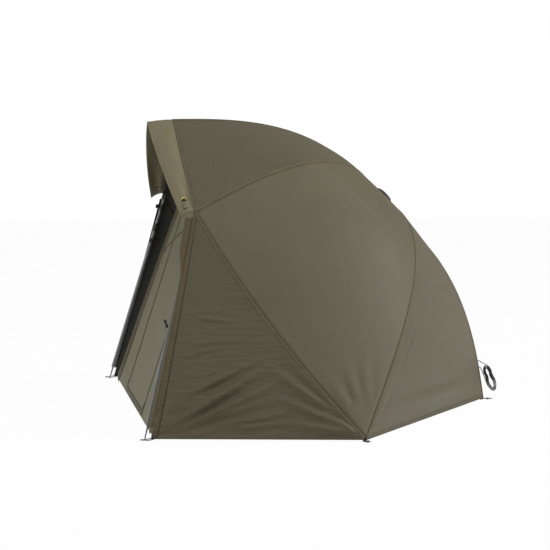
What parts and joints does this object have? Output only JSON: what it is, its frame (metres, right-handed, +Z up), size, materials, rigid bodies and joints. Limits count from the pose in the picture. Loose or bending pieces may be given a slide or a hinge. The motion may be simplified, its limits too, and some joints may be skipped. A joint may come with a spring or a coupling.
{
  "type": "fishing umbrella shelter",
  "caption": "Fishing umbrella shelter: tilted ribbed canopy with forward peak, side panels, zipped front door, storm poles and pegging rings.",
  "frame": {"origin": "on the ground under the middle of the shelter's footprint, at the bottom of the bounding box", "axes": "X runs across the shelter, +Y points to the back and the front door faces -Y, +Z is up"},
  "size_m": [2.616, 1.8687, 1.3982],
  "materials": {
    "canopy_cloth": "olive-brown coated woven nylon, soft sheen",
    "front_cloth": "greenish-grey coated woven nylon, matte",
    "webbing": "dark olive woven webbing",
    "rod": "black glass-fibre rod",
    "nylon": "black moulded nylon",
    "pole_metal": "grey anodised aluminium, satin",
    "ring_wire": "zinc-plated wire",
    "tag": "yellow moulded tip",
    "cord": "black braided cord"
  },
  "bodies": {
    "hub": {"hub_boss": "nylon", "hub_cap": "nylon", "centre_tube": "pole_metal", "tube_plug": "nylon", "pole_lower_left": "pole_metal", "pole_lower_right": "pole_metal", "front_panel_left": "front_cloth", "front_panel_right": "front_cloth"},
    "front_centre_rib": {"rib_front_centre": "rod", "rib_cap_front_centre": "nylon", "peak": "canopy_cloth", "front_panel_top": "front_cloth"},
    "back_rib": {"rib_back": "rod", "rib_cap_back": "nylon", "canopy_rear_left": "canopy_cloth", "canopy_rear_right": "canopy_cloth", "guy_hank": "cord"},
    "front_left_rib": {"rib_front_left": "rod", "rib_cap_front_left": "nylon", "canopy_top_left": "canopy_cloth", "shoulder_tab_left": "webbing", "shoulder_tag_left": "tag"},
    "side_left_rib": {"rib_side_left": "rod", "rib_cap_side_left": "nylon", "canopy_side_left": "canopy_cloth", "side_panel_left": "canopy_cloth"},
    "front_right_rib": {"rib_front_right": "rod", "rib_cap_front_right": "nylon", "canopy_top_right": "canopy_cloth", "shoulder_tab_right": "webbing", "shoulder_tag_right": "tag"},
    "side_right_rib": {"rib_side_right": "rod", "rib_cap_side_right": "nylon", "canopy_side_right": "canopy_cloth", "side_panel_right": "canopy_cloth"},
    "stretcher_front_centre_body": {"stretcher_front_centre": "pole_metal"},
    "stretcher_back_body": {"stretcher_back": "pole_metal"},
    "stretcher_front_left_body": {"stretcher_front_left": "pole_metal"},
    "stretcher_front_right_body": {"stretcher_front_right": "pole_metal"},
    "stretcher_side_left_body": {"stretcher_side_left": "pole_metal"},
    "stretcher_side_right_body": {"stretcher_side_right": "pole_metal"},
    "runner_body": {"runner": "nylon"},
    "runner_catch_body": {"runner_catch": "nylon"},
    "pole_top_left": {"pole_upper_left": "pole_metal", "pole_head_left": "nylon"},
    "pole_knob_left_body": {"pole_knob_left": "nylon"},
    "pole_lock_left_body": {"pole_lock_left": "nylon"},
    "pole_top_right": {"pole_upper_right": "pole_metal", "pole_head_right": "nylon"},
    "pole_knob_right_body": {"pole_knob_right": "nylon"},
    "pole_lock_right_body": {"pole_lock_right": "nylon"},
    "door": {"front_door": "front_cloth"},
    "zip_slider_left_body": {"zip_slider_left": "pole_metal"},
    "zip_slider_right_body": {"zip_slider_right": "pole_metal"},
    "ring_front_left_body": {"ring_front_left": "ring_wire"},
    "ring_front_right_body": {"ring_front_right": "ring_wire"},
    "ring_side_left_body": {"ring_side_left": "ring_wire"},
    "ring_side_right_body": {"ring_side_right": "ring_wire"},
    "ring_back_body": {"ring_back": "ring_wire"}
  },
  "joints": [
    {"name": "canopy_fold", "type": "hinge", "parent": "hub", "child": "side_left_rib", "pos_m": [0.03188, 0.36932, 1.00142], "axis": [-0.369, 0.6572, -0.6572], "range_deg": [0, 53.5], "deforming": ["canopy_top_left", "canopy_top_right", "canopy_side_left", "canopy_side_right", "canopy_rear_left", "canopy_rear_right", "side_panel_left", "side_panel_right", "peak", "shoulder_tab_left", "shoulder_tab_right", "shoulder_tag_left", "shoulder_tag_right", "front_panel_left", "front_panel_right", "front_panel_top", "front_door", "guy_hank"]},
    {"name": "rib_side_right_fold", "type": "hinge", "parent": "hub", "child": "side_right_rib", "pos_m": [-0.03188, 0.36932, 1.00142], "axis": [-0.369, -0.6572, 0.6572], "range_deg": [0, 53.52]},
    {"name": "rib_front_left_fold", "type": "hinge", "parent": "hub", "child": "front_left_rib", "pos_m": [0.02515, 0.34388, 1.02686], "axis": [0.6801, 0.5184, -0.5184], "range_deg": [0, 53.02]},
    {"name": "rib_front_right_fold", "type": "hinge", "parent": "hub", "child": "front_right_rib", "pos_m": [-0.02515, 0.34388, 1.02686], "axis": [0.6801, -0.5184, 0.5184], "range_deg": [0, 53.02]},
    {"name": "rib_front_centre_fold", "type": "hinge", "parent": "hub", "child": "front_centre_rib", "pos_m": [0, 0.33612, 1.03462], "axis": [1, 0, 0], "range_deg": [0, 62.02]},
    {"name": "rib_back_fold", "type": "hinge", "parent": "hub", "child": "back_rib", "pos_m": [0, 0.38462, 0.98612], "axis": [-1, 0, 0], "range_deg": [0, 69.02]},
    {"name": "stretcher_side_left_turn", "type": "hinge", "parent": "side_left_rib", "child": "stretcher_side_left_body", "pos_m": [0.26789, 0.41197, 0.91155], "axis": [-0.369, 0.6572, -0.6572], "range_deg": [-93.22, 0]},
    {"name": "stretcher_side_right_turn", "type": "hinge", "parent": "side_right_rib", "child": "stretcher_side_right_body", "pos_m": [-0.26789, 0.41197, 0.91155], "axis": [-0.369, -0.6572, 0.6572], "range_deg": [-93.22, 0]},
    {"name": "stretcher_front_left_turn", "type": "hinge", "parent": "front_left_rib", "child": "stretcher_front_left_body", "pos_m": [0.21355, 0.19991, 1.13006], "axis": [0.6801, 0.5184, -0.5184], "range_deg": [-90.9, 0]},
    {"name": "stretcher_front_right_turn", "type": "hinge", "parent": "front_right_rib", "child": "stretcher_front_right_body", "pos_m": [-0.21355, 0.19991, 1.13006], "axis": [0.6801, -0.5184, 0.5184], "range_deg": [-90.9, 0]},
    {"name": "stretcher_front_centre_turn", "type": "hinge", "parent": "front_centre_rib", "child": "stretcher_front_centre_body", "pos_m": [0, 0.14904, 1.18271], "axis": [1, 0, 0], "range_deg": [-106.51, 0]},
    {"name": "stretcher_back_turn", "type": "hinge", "parent": "back_rib", "child": "stretcher_back_body", "pos_m": [0, 0.52678, 0.80657], "axis": [-1, 0, 0], "range_deg": [-118.72, 0]},
    {"name": "runner_slide", "type": "slide", "parent": "hub", "child": "runner_body", "axis": [0, -0.7071, -0.7071], "range_m": [0, 0.3271]},
    {"name": "catch_press", "type": "slide", "parent": "runner_body", "child": "runner_catch_body", "axis": [0, 0.7071, -0.7071], "range_m": [0, 0.003], "stiffness_N_per_m": 400},
    {"name": "pole_left_slide", "type": "slide", "parent": "hub", "child": "pole_top_left", "axis": [-0.3063, 0.2491, 0.9188], "range_m": [-0.075, 0]},
    {"name": "pole_lock_left_twist", "type": "hinge", "parent": "hub", "child": "pole_lock_left_body", "pos_m": [0.79644, -0.6809, 0.82668], "axis": [-0.3063, 0.2491, 0.9188], "range_deg": [0, 90]},
    {"name": "pole_knob_left_turn", "type": "hinge", "parent": "pole_top_left", "child": "pole_knob_left_body", "pos_m": [0.76152, -0.67346, 0.93143], "axis": [-0.0788, -0.9685, 0.2363], "range_deg": [0, 180]},
    {"name": "pole_right_slide", "type": "slide", "parent": "hub", "child": "pole_top_right", "axis": [0.3063, 0.2491, 0.9188], "range_m": [-0.075, 0]},
    {"name": "pole_lock_right_twist", "type": "hinge", "parent": "hub", "child": "pole_lock_right_body", "pos_m": [-0.79644, -0.6809, 0.82668], "axis": [0.3063, 0.2491, 0.9188], "range_deg": [0, 90]},
    {"name": "pole_knob_right_turn", "type": "hinge", "parent": "pole_top_right", "child": "pole_knob_right_body", "pos_m": [-0.76152, -0.67346, 0.93143], "axis": [0.0788, -0.9685, 0.2363], "range_deg": [0, 180]},
    {"name": "door_drop", "type": "hinge", "parent": "hub", "child": "door", "pos_m": [0, -0.868, 0.012], "axis": [1, 0, 0], "range_deg": [0, 105]},
    {"name": "zip_left_slide", "type": "slide", "parent": "hub", "child": "zip_slider_left_body", "axis": [0, 0.3036, 0.9528], "range_m": [0, 0.9]},
    {"name": "zip_right_slide", "type": "slide", "parent": "hub", "child": "zip_slider_right_body", "axis": [0, 0.3036, 0.9528], "range_m": [0, 0.9]},
    {"name": "ring_front_left_swing", "type": "hinge", "parent": "hub", "child": "ring_front_left_body", "pos_m": [1.1, -0.9, 0.0044], "axis": [-1, 0, 0], "range_deg": [0, 120]},
    {"name": "ring_front_right_swing", "type": "hinge", "parent": "hub", "child": "ring_front_right_body", "pos_m": [-1.1, -0.9, 0.0044], "axis": [-1, 0, 0], "range_deg": [0, 120]},
    {"name": "ring_side_left_swing", "type": "hinge", "parent": "side_left_rib", "child": "ring_side_left_body", "pos_m": [1.28, 0.065, 0.0044], "axis": [0, -1, 0], "range_deg": [0, 120]},
    {"name": "ring_side_right_swing", "type": "hinge", "parent": "side_right_rib", "child": "ring_side_right_body", "pos_m": [-1.28, 0.065, 0.0044], "axis": [0, 1, 0], "range_deg": [0, 120]},
    {"name": "ring_back_swing", "type": "hinge", "parent": "back_rib", "child": "ring_back_body", "pos_m": [0, 0.9, 0.0044], "axis": [1, 0, 0], "range_deg": [0, 120]}
  ],
  "couplings": [
    {"joint": "rib_side_right_fold", "follows": "canopy_fold", "ratio": 1},
    {"joint": "rib_front_left_fold", "follows": "canopy_fold", "ratio": 0.99065},
    {"joint": "rib_front_right_fold", "follows": "canopy_fold", "ratio": 0.99065},
    {"joint": "rib_front_centre_fold", "follows": "canopy_fold", "ratio": 1.1589},
    {"joint": "rib_back_fold", "follows": "canopy_fold", "ratio": 1.2897},
    {"joint": "stretcher_side_left_turn", "follows": "canopy_fold", "ratio": -1.7415},
    {"joint": "stretcher_side_right_turn", "follows": "canopy_fold", "ratio": -1.7415},
    {"joint": "stretcher_front_left_turn", "follows": "canopy_fold", "ratio": -1.6982},
    {"joint": "stretcher_front_right_turn", "follows": "canopy_fold", "ratio": -1.6982},
    {"joint": "stretcher_front_centre_turn", "follows": "canopy_fold", "ratio": -1.9898},
    {"joint": "stretcher_back_turn", "follows": "canopy_fold", "ratio": -2.2181},
    {"joint": "runner_slide", "follows": "canopy_fold", "m_per_rad": 0.3502}
  ]
}
